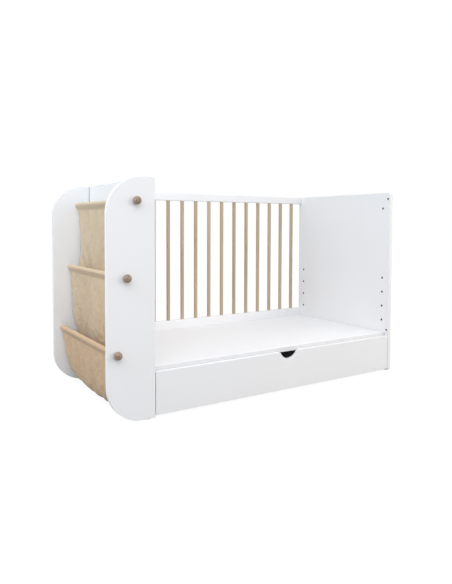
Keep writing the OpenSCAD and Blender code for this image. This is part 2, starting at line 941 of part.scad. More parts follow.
// Steel angle on the drawer side with the axle of the rear roller
module drawer_runner() {
    x0 = head_x + leg_x;
    y1 = runner_y + runner_l - 2;
    axle_x0 = head_x + rear_roller_x;
    block(x0, x0 + steel_t, runner_y, y1, side_z - steel_t, flange_z + steel_t);
    block(x0, x0 + steel_t + drawer_side_t, runner_y, y1, side_z - steel_t, side_z);
    // Flange that runs on the front roller
    block(head_x + front_roller_x + roll_clear, x0 + steel_t, runner_y, flange_end,
        flange_z, flange_z + steel_t);
    rod_x(axle_x0 - 0.4, rear_axle_y, rear_axle_z, axle_r, roller_w + 1);
    rod_x(x0 - 0.3, rear_axle_y, rear_axle_z, rivet_r, 0.3);
    rod_x(axle_x0 - 0.3 - rivet_t, rear_axle_y, rear_axle_z, rivet_r, rivet_t);
}

module drawer_runner_head() {
    color(zinc)
        drawer_runner();
}

module drawer_runner_foot() {
    color(zinc)
        at_foot_end()
            drawer_runner();
}

// Drawer

module drawer_bottom_shape(extra) {
    block(side_x0 + drawer_side_t - groove_d + groove_clear - extra,
        side_x1 - drawer_side_t + groove_d - groove_clear + extra,
        drawer_y - groove_d + groove_clear - extra,
        drawer_back_y + groove_d - groove_clear + extra,
        bottom_z - extra, bottom_z + drawer_bottom_t + extra);
}

module drawer_front() {
    color(white)
        difference() {
            block(drawer_front_x0, drawer_front_x0 + drawer_front_l, front_y, drawer_y,
                drawer_floor_gap, drawer_top_z);
            rod_y((head_x + foot_x) / 2 + notch_shift, front_y - 1, drawer_top_z + notch_r - notch_h,
                notch_r, board_t + 2);
            drawer_bottom_shape(groove_clear);
        }
}

module drawer_side() {
    difference() {
        block(side_x0, side_x0 + drawer_side_t, drawer_y, drawer_y + drawer_l,
            side_z, side_z + drawer_side_h);
        drawer_bottom_shape(groove_clear);
    }
}

module drawer_side_head() {
    color(inside_white)
        drawer_side();
}

module drawer_side_foot() {
    color(inside_white)
        at_foot_end()
            drawer_side();
}

module drawer_back() {
    color(inside_white)
        difference() {
            block(side_x0 + drawer_side_t, side_x1 - drawer_side_t, drawer_back_y,
                drawer_back_y + drawer_side_t, side_z, side_z + drawer_side_h);
            drawer_bottom_shape(groove_clear);
        }
}

module drawer_bottom() {
    color(inside_white)
        drawer_bottom_shape(0);
}

headboard();
footboard();
front_shelf_side();
rear_shelf_side();
back_top_rail();
back_bottom_rail();
for (n = [1:bar_count])
    bar(n);
deck_board();
deck_cleat_head();
deck_cleat_foot();
deck_cleat_rear();
deck_batten();
rod_top();
rod_middle();
rod_bottom();
anchor_rods();
knob_top_front();
knob_middle_front();
knob_bottom_front();
knob_top_rear();
knob_middle_rear();
knob_bottom_rear();
pocket_top();
pocket_middle();
pocket_bottom();
rail_bolts();
barrel_nuts();
cam_discs();
cam_bolts();
panel_dowels();
floor_glides();
cabinet_runner_head();
cabinet_runner_foot();
runner_screws();
front_roller_head();
front_roller_foot();
drawer_front();
drawer_side_head();
drawer_side_foot();
drawer_back();
drawer_bottom();
drawer_runner_head();
drawer_runner_foot();
rear_roller_head();
rear_roller_foot();
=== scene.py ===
"""Looks of the convertible crib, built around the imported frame."""
import math

import bpy
import numpy as np
from mathutils import Matrix, Vector
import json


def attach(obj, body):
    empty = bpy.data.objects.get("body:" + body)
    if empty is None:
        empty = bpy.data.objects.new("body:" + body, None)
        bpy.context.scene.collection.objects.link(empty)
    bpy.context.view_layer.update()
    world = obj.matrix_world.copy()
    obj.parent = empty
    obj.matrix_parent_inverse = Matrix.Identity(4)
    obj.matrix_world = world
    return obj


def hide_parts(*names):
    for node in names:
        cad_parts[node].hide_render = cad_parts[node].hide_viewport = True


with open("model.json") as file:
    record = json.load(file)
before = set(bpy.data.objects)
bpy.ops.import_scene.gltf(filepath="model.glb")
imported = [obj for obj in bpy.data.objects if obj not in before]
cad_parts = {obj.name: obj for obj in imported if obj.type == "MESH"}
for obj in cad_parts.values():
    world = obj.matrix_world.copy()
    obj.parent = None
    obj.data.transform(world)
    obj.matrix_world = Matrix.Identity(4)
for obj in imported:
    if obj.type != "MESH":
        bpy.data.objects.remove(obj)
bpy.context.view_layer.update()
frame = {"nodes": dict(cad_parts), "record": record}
nodes = frame["nodes"]
scene = bpy.context.scene
scene.view_settings.view_transform = "Standard"

# Sizes repeated from part.scad, in metres
HEAD_X = -0.525
FOOT_X = 0.685
FOOT_H = 0.843
DEPTH = 0.656
BOARD_T = 0.018
POCKET_Y0 = -DEPTH / 2 + BOARD_T
POCKET_Y1 = DEPTH / 2 - BOARD_T
ROD_R = 0.0075
ANCHOR_R = 0.006
FABRIC_T = 0.0018
HEM_CLEAR = 0.0004
HEM_BACK = 0.004
HEM_H = 0.022
TAIL_H = 0.006
FABRIC_GAP = 0.004
EDGE_LIFT = 0.026
ANCHOR_OUT = BOARD_T + ANCHOR_R + 2 * HEM_CLEAR + FABRIC_T

# How far in from a panel's faces and edges its holes turn dark, as bare board with painted shade
FACE_IN = 0.0003
EDGE_IN = 0.0062
# Radius of the boards' sanded edges
BOARD_EDGE = 0.0014
# Width of the painted shadow where the head panel meets a shelf side
SEAM_W = 0.0055
# Where the painted shade on the deck's front edge ends
DECK_SHADE_Y = -0.3078

# Points of the fine curve that a pocket's evenly spaced line is read from
CURVE_POINTS = 400
# Coarse grid of a pocket's cloth: distance between its rows, and number of its columns
GRID_PITCH = 0.0105
GRID_COLUMNS = 59
# Share by which the cloth grows as it is hung, and the frames that this takes
GROWTH = 0.006
HANG_FRAMES = 45
# Weight of one pocket's cloth in kg, and by how much it is raised for the drape
SHEET_MASS = 0.28
MASS_FACTOR = 40
# How far the free edges are drawn in, and how deep the drawn waves are
DRAW_IN = 0.007
WAVE_COUNT = 7
WAVE_H = 0.0014
# Puckers along the hem's seam, and the rows over which they fade
PUCKER_COUNT = 9
PUCKER_H = 0.00011
PUCKER_ROWS = 3.0
# Columns of the fine grid near a free edge, with a step where the side hem's fold ends
EDGE_COLUMNS = (0, 0.0006, 0.003, 0.006, 0.0088, 0.0096, 0.0104, 0.0115)
INNER_FROM = 0.016
INNER_COLUMNS = 97
# Thickness of the cloth as shown, single and in the folded side hems
SINGLE_T = 0.0011
FOLDED_T = 0.0021
FOLD_W = 0.01
# Points of the hem's turn round its rod
HEM_POINTS = 25
# Angle of the loop round an anchor rod, and its points
ANCHOR_TURN = math.radians(230)
ANCHOR_POINTS = 19
# Edges of a cloth that are sharper than this aren't smoothed
SMOOTH_ANGLE = math.radians(60)
# Threads of the canvas in a metre
THREADS = 1450.0

# Stitches: how many rows above the drape the hem's seam is sewn, the distance that a
# stitch's direction is read over, and the points left out at the end of an edge seam
SEAM_ROWS_UP = 3
STITCH_AHEAD = 0.0001
EDGE_SEAM_SHORT = 4
STITCH_PITCH = 0.0034
STITCH_L = 0.0026
THREAD_R = 0.00032
STITCH_LIFT = 0.00012
EDGE_SEAM_IN = 0.0075
STITCH_RING = 6
STITCH_STEPS = 5

# Colours, light and dark, roughness, and depth of the orange peel of the lacquers
WHITE = ((0.925, 0.928, 0.936), (0.905, 0.908, 0.918), 0.42, 0.00006)
# The top rail's copy of the white lacquer, darker as painted shade
RAIL_SHADED_WHITE = ((0.872, 0.875, 0.884), (0.853, 0.857, 0.867), 0.42, 0.00006)
INNER_WHITE = ((0.83, 0.832, 0.835), (0.8, 0.802, 0.806), 0.55, 0.00012)
# Grey of the painted shade on the deck's front edge
DECK_EDGE_SHADE = (0.78, 0.785, 0.795, 1.0)
# Colour of the painted shadow in the seam between head panel and shelf sides
SEAM_SHADE_COLOUR = (0.05, 0.045, 0.04, 1.0)
# Bare board in the holes, near black: darker than the board's own colour as painted shade
HOLE_BARE_AND_SHADE = [
    (0.35, (0.014, 0.01, 0.007)),
    (0.65, (0.034, 0.025, 0.018)),
]
BEECH = [
    (0.36, (0.437, 0.326, 0.211)),
    (0.5, (0.512, 0.396, 0.269)),
    (0.66, (0.58, 0.465, 0.331)),
]
KNOB = [
    (0.36, (0.205, 0.137, 0.09)),
    (0.5, (0.287, 0.196, 0.13)),
    (0.66, (0.375, 0.264, 0.178)),
]
CANVAS = [
    (0.5, (0.63, 0.475, 0.295)),
    (0.72, (0.72, 0.56, 0.37)),
    (0.95, (0.78, 0.62, 0.43)),
]
THREAD = [
    (0.0, (0.42, 0.32, 0.21)),
    (1.0, (0.6, 0.49, 0.36)),
]
ZINC = [
    (0.25, (0.5, 0.505, 0.52)),
    (0.75, (0.67, 0.675, 0.69)),
]
NYLON = [
    (0.3, (0.72, 0.71, 0.67)),
    (0.7, (0.8, 0.79, 0.75)),
]


# Materials

class Tree:
    """The node tree of a material or world, with short calls for adding and joining nodes."""

    def __init__(self, owner, out="OutputMaterial"):
        self.owner = owner
        owner.use_nodes = True
        self.tree = owner.node_tree
        self.tree.nodes.clear()
        self.out = self.node(out)

    def node(self, kind, inputs=None, **settings):
        made = self.tree.nodes.new("ShaderNode" + kind)
        for key, value in settings.items():
            setattr(made, key, value)
        for key, value in (inputs or {}).items():
            if isinstance(value, bpy.types.NodeSocket):
                self.tree.links.new(value, made.inputs[key])
            else:
                made.inputs[key].default_value = value
        return made

    def place(self):
        return self.node("TexCoord").outputs["Object"]

    def split(self, vector):
        return self.node("SeparateXYZ", {0: vector}).outputs

    def math(self, operation, a, b=0.0):
        return self.node("Math", {0: a, 1: b}, operation=operation).outputs[0]

    def times(self, a, b):
        return self.math("MULTIPLY", a, b)

    def plus(self, a, b):
        return self.math("ADD", a, b)

    def mix(self, share, colour, other):
        inputs = {0: share, 6: colour, 7: other}
        return self.node("Mix", inputs, data_type="RGBA").outputs[2]

    def noise(self, vector, scale, detail=3.0, roughness=0.5, distortion=0.0):
        inputs = {
            "Vector": vector,
            "Scale": scale,
            "Detail": detail,
            "Roughness": roughness,
            "Distortion": distortion,
        }
        return self.node("TexNoise", inputs).outputs["Fac"]

    def stretch(self, vector, scale):
        return self.node("Mapping", {"Vector": vector, "Scale": scale}).outputs[0]

    def ramp(self, fac, stops):
        made = self.node("ValToRGB", {"Fac": fac})
        bar = made.color_ramp
        while len(bar.elements) < len(stops):
            bar.elements.new(0.5)
        for element, (position, colour) in zip(bar.elements, stops):
            element.position = position
            element.color = (*colour, 1.0)
        return made.outputs["Color"]

    def remap(self, value, low, high, new_low, new_high):
        inputs = {
            "Value": value,
            "From Min": low,
            "From Max": high,
            "To Min": new_low,
            "To Max": new_high,
        }
        return self.node("MapRange", inputs).outputs[0]

    def bump(self, height, distance, strength=1.0, normal=None):
        inputs = {"Height": height, "Distance": distance, "Strength": strength}
        if normal is not None:
            inputs["Normal"] = normal
        return self.node("Bump", inputs).outputs[0]

    def show(self, shader):
        self.tree.links.new(shader, self.out.inputs["Surface"])
        return self.owner

    def finish(self, **inputs):
        spaced = {key.replace("_", " "): value for key, value in inputs.items()}
        return self.show(self.node("BsdfPrincipled", spaced).outputs[0])


def seam_shadow(t, place, colour):
    """Paints a shadow line on the outer face where the head panel runs into the shelf sides."""
    x, y = t.split(place)[:2]
    full = POCKET_Y1 - 0.6 * SEAM_W
    near = t.remap(t.math("ABSOLUTE", y), POCKET_Y1 - SEAM_W, full, 0.0, 1.0)
    outside = t.math("LESS_THAN", x, HEAD_X - BOARD_T + FACE_IN)
    return t.mix(t.times(near, outside), colour, SEAM_SHADE_COLOUR)


def bare_and_shaded_holes(t, place, middle_x, colour):
    """Colours what lies deeper than the lacquer of a panel, the walls of its holes: bare board,
    made near black as painted shade.
    """
    x, y, z = t.split(place)
    off_middle = t.math("ABSOLUTE", t.math("SUBTRACT", x, middle_x))
    depth_in = t.math("LESS_THAN", off_middle, BOARD_T / 2 - FACE_IN)
    side_in = t.math("LESS_THAN", t.math("ABSOLUTE", y), DEPTH / 2 - EDGE_IN)
    foot_in = t.math("GREATER_THAN", z, EDGE_IN)
    head_in = t.math("LESS_THAN", z, FOOT_H - EDGE_IN)
    inside = t.times(t.times(depth_in, side_in), t.times(foot_in, head_in))
    fibres = t.ramp(t.noise(place, 1900.0, 4.0, 0.7), HOLE_BARE_AND_SHADE)
    return t.mix(inside, colour, fibres)


def lacquer(name, light, dark, roughness, peel, core_x=None, seam_shaded=False, shade_y=None):
    """Sprayed satin lacquer on board: faint clouds of tone, orange peel and light scuffs. Options
    paint shade into the holes, along the head panel's seams and on the deck's front edge.
    """
    t = Tree(bpy.data.materials.new(name))
    place = t.place()
    clouds = t.noise(place, 2.3, 4.0, 0.55)
    colour = t.ramp(clouds, [(0.3, dark), (0.7, light)])
    # Bare walls of the holes, with painted shade in them
    if core_x is not None:
        colour = bare_and_shaded_holes(t, place, core_x, colour)
    # Painted shadow along the head panel's seams with the shelf sides
    if seam_shaded:
        colour = seam_shadow(t, place, colour)
    # The deck's front edge is greyed as painted shade
    if shade_y is not None:
        shaded_edge = t.math("LESS_THAN", t.split(place)[1], shade_y)
        colour = t.mix(shaded_edge, colour, DECK_EDGE_SHADE)
    edges = t.node("Bevel", {"Radius": BOARD_EDGE}, samples=6).outputs[0]
    peel_height = t.noise(place, 260.0, 2.0, 0.5)
    scuffs = t.noise(t.stretch(place, (30.0, 90.0, 12.0)), 1.0, 5.0, 0.6)
    return t.finish(
        Base_Color=colour,
        Roughness=t.remap(scuffs, 0.35, 0.7, roughness - 0.05, roughness + 0.07),
        Normal=t.bump(peel_height, peel, normal=edges),
        IOR=1.5,
    )


def wood(name, axis, stops, roughness, pore_depth, coat=0.15):
    """Clear-lacquered wood, grained along one axis: slow bands, fibres and short dark pores."""
    t = Tree(bpy.data.materials.new(name))
    place = t.place()
    along = [1.0, 1.0, 1.0]
    along[axis] = 0.035
    grained = t.stretch(place, along)
    bands = t.noise(grained, 55.0, 3.0, 0.5, 0.6)
    fibres = t.noise(grained, 520.0, 4.0, 0.65)
    colour = t.ramp(t.plus(t.times(bands, 0.62), t.times(fibres, 0.38)), stops)
    short = [1.0, 1.0, 1.0]
    short[axis] = 0.16
    cells = t.node("TexVoronoi", {"Vector": t.stretch(place, short), "Scale": 950.0})
    fleck = t.remap(cells.outputs["Distance"], 0.05, 0.2, 1.0, 0.0)
    red, green, blue = stops[0][1]
    pore_colour = (red * 0.55, green * 0.5, blue * 0.45, 1.0)
    height = t.math("SUBTRACT", fibres, t.times(fleck, 0.7))
    return t.finish(
        Base_Color=t.mix(t.times(fleck, 0.35), colour, pore_colour),
        Roughness=t.remap(bands, 0.3, 0.7, roughness - 0.05, roughness + 0.08),
        Normal=t.bump(height, pore_depth),
        IOR=1.48,
        Coat_Weight=coat,
        Coat_Roughness=0.3,
    )


def canvas(name, shade_tint):
    """Plain-woven cotton canvas. The threads follow the cloth's own flat cut, in metres."""
    t = Tree(bpy.data.materials.new(name))
    flat = t.node("UVMap", uv_map="cut").outputs[0]
    place = t.place()
    wander = t.noise(flat, 90.0, 3.0, 0.6)
    half_turns = THREADS * math.pi
    parts = t.split(flat)
    phase_x = t.plus(t.times(parts[0], half_turns), t.times(wander, 5.0))
    phase_y = t.plus(t.times(parts[1], half_turns), t.times(wander, 4.0))
    sine_x = t.math("SINE", phase_x)
    sine_y = t.math("SINE", phase_y)
    # Warp over weft in one square, weft over warp in the next
    over = t.times(t.times(sine_x, sine_y), 0.5)
    warp = t.math("ABSOLUTE", sine_x)
    weft = t.math("ABSOLUTE", sine_y)
    weave = t.math("MAXIMUM", t.plus(warp, over), t.math("SUBTRACT", weft, over))
    # Slubs: single threads a little thicker or darker over a few centimetres
    slub_x = t.noise(t.stretch(flat, (900.0, 14.0, 1.0)), 1.0, 2.0, 0.5)
    slub_y = t.noise(t.stretch(flat, (14.0, 900.0, 1.0)), 1.0, 2.0, 0.5)
    slubs = t.plus(slub_x, slub_y)
    clouds = t.noise(place, 5.0, 3.0, 0.5)
    fine_tone = t.plus(t.times(clouds, 0.2), t.times(weave, 0.1))
    tone = t.plus(t.times(slubs, 0.5), fine_tone)
    # Stops tinted for each pocket as painted light and shade
    stops = [(at, tuple(c * k for c, k in zip(colour, shade_tint))) for at, colour in CANVAS]
    rough = t.noise(flat, 2600.0, 2.0, 0.7)
    height = t.plus(t.plus(weave, t.times(slubs, 0.8)), t.times(rough, 0.4))
    crumple = t.noise(flat, 14.0, 3.0, 0.5, 0.4)
    return t.finish(
        Base_Color=t.ramp(tone, stops),
        Roughness=t.remap(rough, 0.3, 0.7, 0.82, 0.95),
        Normal=t.bump(height, 0.00022, 0.8, t.bump(crumple, 0.0010, 0.5)),
        Sheen_Weight=0.25,
        Sheen_Roughness=0.55,
        Specular_IOR_Level=0.25,
    )


def thread():
    """Twisted sewing thread."""
    t = Tree(bpy.data.materials.new("thread"))
    inputs = {"Vector": t.place(), "Scale": 900.0, "Distortion": 1.0}
    twist = t.node("TexWave", inputs, bands_direction="DIAGONAL").outputs["Fac"]
    return t.finish(
        Base_Color=t.ramp(twist, THREAD),
        Roughness=0.75,
        Normal=t.bump(twist, 0.0001),
        Sheen_Weight=0.2,
    )


def zinc():
    """Zinc-plated sheet steel, faintly spangled, with fine rolling lines along Y."""
    t = Tree(bpy.data.materials.new("zinc_steel"))
    place = t.place()
    cells = t.node("TexVoronoi", {"Vector": place, "Scale": 240.0}, feature="F1")
    spangle = t.split(cells.outputs["Color"])[0]
    lines = t.noise(t.stretch(place, (1400.0, 12.0, 1400.0)), 1.0, 3.0, 0.6)
    return t.finish(
        Base_Color=t.ramp(t.plus(t.times(spangle, 0.4), t.times(lines, 0.6)), ZINC),
        Metallic=1.0,
        Roughness=t.remap(lines, 0.3, 0.7, 0.26, 0.42),
        Normal=t.bump(lines, 0.00004),
    )


def nylon():
    """Natural nylon, moulded."""
    t = Tree(bpy.data.materials.new("nylon"))
    place = t.place()
    flow = t.noise(place, 120.0, 3.0, 0.5, 0.5)
    return t.finish(
        Base_Color=t.ramp(flow, NYLON),
        Roughness=t.remap(flow, 0.3, 0.7, 0.32, 0.45),
        Normal=t.bump(t.noise(place, 900.0, 2.0), 0.00005),
        Subsurface_Weight=0.08,
        Subsurface_Radius=(0.002, 0.002, 0.0018),
    )


white_look = lacquer("white_board", *WHITE)
head_look = lacquer("head_board", *WHITE, core_x=HEAD_X - BOARD_T / 2, seam_shaded=True)
foot_look = lacquer("foot_board", *WHITE, core_x=FOOT_X + BOARD_T / 2)
deck_look = lacquer("deck_board", *WHITE, shade_y=DECK_SHADE_Y)
rail_shaded_look = lacquer("rail_shaded_board", *RAIL_SHADED_WHITE)
inner_look = lacquer("inner_board", *INNER_WHITE)
upright_look = wood("beech_upright", 2, BEECH, 0.45, 0.0001)
cross_look = wood("beech_cross", 1, BEECH, 0.45, 0.0001)
knob_look = wood("knob_wood", 1, KNOB, 0.34, 0.00008, coat=0.6)
# Lit and shaded copies of one canvas: the lower pockets warmer and the bottom one darker, as
# painted shade and bounce light
CLOTH_LOOK = {
    "pocket_top": canvas("canvas_top", (0.965, 0.965, 0.98)),
    "pocket_middle": canvas("canvas_middle", (1.0, 0.965, 0.945)),
    "pocket_bottom": canvas("canvas_bottom", (0.97, 0.85, 0.755)),
}
thread_look = thread()
SLOT_LOOK = {
    "white_board": white_look,
    "inner_board": inner_look,
    "knob_wood": knob_look,
    "canvas": CLOTH_LOOK["pocket_top"],
    "zinc_steel": zinc(),
    "nylon": nylon(),
}


def dress(piece, look):
    piece.data.materials.clear()
    piece.data.materials.append(look)


for row in frame["record"]["subparts"]:
    name = row["node"]
    look = SLOT_LOOK.get(row["material_slot"])
    if look is None:
        look = upright_look if name.startswith("bar_") else cross_look
    dress(nodes[name], look)
dress(nodes["headboard"], head_look)
dress(nodes["footboard"], foot_look)
dress(nodes["deck_board"], deck_look)
# The top rail gets its darker lacquer as painted shade
dress(nodes["back_top_rail"], rail_shaded_look)


# Pockets

def add_piece(name, mesh):
    piece = bpy.data.objects.new(name, mesh)
    scene.collection.objects.link(piece)
    return piece


def unit(vectors):
    length = np.linalg.norm(vectors, axis=-1, keepdims=True)
    return vectors / np.maximum(length, 1e-12)


def run_of(points):
    """Length along a row of points, from 0 at the first."""
    return np.concatenate([[0], np.cumsum(np.linalg.norm(np.diff(points, axis=0), axis=1))])


def read_at(at, run, values):
    """Values of three columns at other lengths along their row."""
    return np.stack([np.interp(at, run, values[:, k]) for k in range(3)], axis=1)


def on_circle(centre, radius, angle):
    x = centre[0] + radius * math.cos(angle)
    z = centre[1] + radius * math.sin(angle)
    return np.array([x, z])


def spline_matrix(count, at):
    """Weights that read a row of evenly spaced values at other places, smoothly."""
    made = np.zeros((len(at), count))
    for row, x in enumerate(np.clip(at, 0, count - 1)):
        i = min(int(x), count - 2)
        f = x - i
        weights = (
            -0.5 * f + f * f - 0.5 * f ** 3,
            1 - 2.5 * f * f + 1.5 * f ** 3,
            0.5 * f + 2 * f * f - 1.5 * f ** 3,
            -0.5 * f * f + 0.5 * f ** 3,
        )
        for k, w in zip((i - 1, i, i + 1, i + 2), weights):
            if k < 0:
                made[row, 0] += 2 * w
                made[row, 1] -= w
            elif k > count - 1:
                made[row, count - 1] += 2 * w
                made[row, count - 2] -= w
            else:
                made[row, k] += w
    return made


def hanging_line(rod, anchor, handles):
    """The line the cloth hangs on, evenly spaced: X, Z and a point's share of the edges' lift."""
    seam = rod + np.array([HEM_BACK, -HEM_H])
    end = anchor - np.array([ANCHOR_R + HEM_CLEAR + FABRIC_T / 2, 0])
    h1 = np.array([HEAD_X - handles[0][0], rod[1] - handles[0][1]])
    h2 = np.array([HEAD_X - handles[1][0], anchor[1] - handles[1][1]])
    t = np.linspace(0, 1, CURVE_POINTS)[:, None]
    line = (1 - t) ** 3 * seam + 3 * (1 - t) ** 2 * t * h1 + 3 * (1 - t) * t * t * h2 + t ** 3 * end
    line = np.hstack([line, np.sin(math.pi * t) ** 2])
    run = run_of(line[:, :2])
    at = np.linspace(0, run[-1], 1 + round(run[-1] / GRID_PITCH))
    return read_at(at, run, line)


def simulate(points):
    """Hangs a grid of points as cloth, with its first two rows and its last two held."""
    rows, columns = points.shape[:2]
    mesh = bpy.data.meshes.new("hanging")
    faces = []
    for i in range(rows - 1):
        for j in range(columns - 1):
            a = i * columns + j
            faces.append((a, a + 1, a + columns + 1, a + columns))
    mesh.from_pydata([tuple(p) for p in points.reshape(-1, 3)], [], faces)
    piece = add_piece("hanging", mesh)
    held = piece.vertex_groups.new(name="held")
    held_rows = (0, 1, rows - 2, rows - 1)
    held.add([i * columns + j for i in held_rows for j in range(columns)], 1.0, "REPLACE")
    cloth = piece.modifiers.new("cloth", "CLOTH")
    c = cloth.settings
    c.vertex_group_mass = "held"
    c.quality = 8
    c.mass = SHEET_MASS / (rows * columns) * MASS_FACTOR
    c.tension_stiffness = 40
    c.compression_stiffness = 40
    c.shear_stiffness = 20
    c.bending_stiffness = 1.2
    c.tension_damping = 20
    c.compression_damping = 20
    c.bending_damping = 1.0
    c.air_damping = 2.0
    c.shrink_min = -GROWTH
    c.shrink_max = -GROWTH
    cloth.collision_settings.use_collision = False
    scene.frame_start = 1
    scene.frame_end = HANG_FRAMES
    cloth.point_cache.frame_start = 1
    cloth.point_cache.frame_end = HANG_FRAMES
    for number in range(1, HANG_FRAMES + 1):
        scene.frame_set(number)
    shown = piece.evaluated_get(bpy.context.evaluated_depsgraph_get())
    hung = np.zeros(rows * columns * 3, np.float32)
    shown.data.vertices.foreach_get("co", hung)
    scene.frame_set(1)
    bpy.data.objects.remove(piece)
    return hung.reshape(rows, columns, 3).astype(float)


def drape(line, y0, width, rng):
    """The coarse grid of the cloth between hem and anchor rod."""
    across = np.linspace(0, 1, GRID_COLUMNS)[None, :]
    down = np.linspace(0, 1, len(line))[:, None]
    free = np.sin(math.pi * down) ** 0.7
    grid = np.zeros((len(line), GRID_COLUMNS, 3))
    grid[..., 0] = line[:, 0][:, None]
    lift = EDGE_LIFT * line[:, 2][:, None] * (2 * across - 1) ** 2
    grid[..., 2] = line[:, 1][:, None] + lift
    # The free edges are drawn in a little between hem and anchor rod
    draw_in = DRAW_IN * free * np.sign(0.5 - across) * np.abs(2 * across - 1) ** 3
    grid[..., 1] = y0 + width * across + draw_in
    for _ in range(WAVE_COUNT):
        k = rng.uniform(1.5, 7.5)
        phase = rng.uniform(0, 2 * math.pi)
        lean = rng.uniform(-1.2, 1.2)
        wave = np.sin(2 * math.pi * (k * across + lean * down) + phase)
        grid[..., 0] -= WAVE_H * wave * free
    grid = simulate(grid)
    return grid


def hem_profile(rod):
    """Section of the hem: its tail behind the seam, its turn round the rod, and back."""
    loop = ROD_R + HEM_CLEAR + FABRIC_T / 2
    seam = rod + np.array([HEM_BACK, -HEM_H])
    lean = math.atan2(seam[1] - rod[1], seam[0] - rod[0])
    tangent = math.acos(loop / np.linalg.norm(seam - rod))
    turn = 2 * math.pi - 2 * tangent
    start = on_circle(rod, loop, lean + tangent)
    tail_end = seam + np.array([FABRIC_T + HEM_CLEAR, -TAIL_H])
    tail_top = seam + np.array([FABRIC_T + HEM_CLEAR, 0.001])
    shares = np.linspace(0, 1, HEM_POINTS)
    hem = [tail_end]
    hem += [tail_top + (start - tail_top) * f for f in (0.0, 0.33, 0.66)]
    hem += [on_circle(rod, loop, lean + tangent + f * turn) for f in shares]
    last = hem[-1]
    hem += [last + (seam - last) * f for f in (0.25, 0.5, 0.75, 0.92)]
    return hem


def anchor_profile(anchor):
    """Section of the loop round an anchor rod."""
    turn = ANCHOR_R + HEM_CLEAR + FABRIC_T / 2
    steps = np.linspace(0, 1, ANCHOR_POINTS)[1:]
    return [on_circle(anchor, turn, math.pi - f * ANCHOR_TURN) for f in steps]


def band(profile, y):
    """A section's X and Z, repeated at each of a row of Y."""
    section = np.array(profile)
    made = np.zeros((len(profile), len(y), 3))
    made[..., 0] = section[:, 0][:, None]
    made[..., 1] = y[None, :]
    made[..., 2] = section[:, 1][:, None]
    return made


def closed_sheet(name, middle, normal, thick, cut):
    """A closed sheet round a grid of points. thick is given at each, and cut is its flat place."""
    rows, columns = middle.shape[:2]
    count = rows * columns
    front = middle + normal * thick[..., None] / 2
    back = middle - normal * thick[..., None] / 2

    def at(i, j):
        return i * columns + j

    faces = []
    for i in range(rows - 1):
        for j in range(columns - 1):
            a, b, c, d = at(i, j), at(i, j + 1), at(i + 1, j + 1), at(i + 1, j)
            faces.append((a, d, c, b))
            faces.append((count + a, count + b, count + c, count + d))
    for i in range(rows - 1):
        faces.append((at(i, 0), count + at(i, 0), count + at(i + 1, 0), at(i + 1, 0)))
        j = columns - 1
        faces.append((at(i + 1, j), count + at(i + 1, j), count + at(i, j), at(i, j)))
    for j in range(columns - 1):
        faces.append((at(0, j), at(0, j + 1), count + at(0, j + 1), count + at(0, j)))
        i = rows - 1
        faces.append((at(i, j + 1), at(i, j), count + at(i, j), count + at(i, j + 1)))
    points = np.concatenate([front.reshape(-1, 3), back.reshape(-1, 3)])
    mesh = bpy.data.meshes.new(name)
    mesh.from_pydata([tuple(p) for p in points], [], faces)
    flat = mesh.uv_layers.new(name="cut")
    places = np.concatenate([cut.reshape(-1, 2)] * 2)
    corner = np.zeros(len(mesh.loops), np.int32)
    mesh.loops.foreach_get("vertex_index", corner)
    flat.data.foreach_set("uv", places[corner].astype(np.float32).ravel())
    mesh.validate()
    mesh.shade_smooth()
    mesh.set_sharp_from_angle(angle=SMOOTH_ANGLE)
    return add_piece(name, mesh)


def grid_normals(points):
    along = np.gradient(points, axis=0)
    across = np.gradient(points, axis=1)
    return unit(np.cross(across, along))


def stitches(name, centres, directions, normals):
    """A row of short stitches: beads of thread that dip into the cloth at their ends."""
    points = []
    faces = []
    for c, d, n in zip(centres, directions, normals):
        side = np.cross(d, n)
        first = len(points)
        for k in range(STITCH_STEPS):
            s = k / (STITCH_STEPS - 1) * 2 - 1
            middle = c + d * s * STITCH_L / 2 - n * THREAD_R * 0.9 * s * s
            r = THREAD_R * (1 - 0.55 * s * s)
            for q in range(STITCH_RING):
                a = 2 * math.pi * q / STITCH_RING
                points.append(tuple(middle + r * (math.cos(a) * side + math.sin(a) * n)))
        for k in range(STITCH_STEPS - 1):
            for q in range(STITCH_RING):
                a = first + k * STITCH_RING + q
                b = first + k * STITCH_RING + (q + 1) % STITCH_RING
                faces.append((a, b, b + STITCH_RING, a + STITCH_RING))
        end = first + (STITCH_STEPS - 1) * STITCH_RING
        faces.append(tuple(first + q for q in reversed(range(STITCH_RING))))
        faces.append(tuple(end + q for q in range(STITCH_RING)))
    mesh = bpy.data.meshes.new(name)
    mesh.from_pydata(points, [], faces)
    mesh.shade_smooth()
    piece = add_piece(name, mesh)
    dress(piece, thread_look)
    return piece


def seam_row(name, path, path_normals):
    """Stitches at an even pitch along a path on the cloth."""
    run = run_of(path)
    at = np.arange(STITCH_PITCH / 2, run[-1], STITCH_PITCH)
    centres = read_at(at, run, path)
    ahead = read_at(at + STITCH_AHEAD, run, path)
    ways = unit(ahead - centres)
    return stitches(name, centres, ways, unit(read_at(at, run, path_normals)))


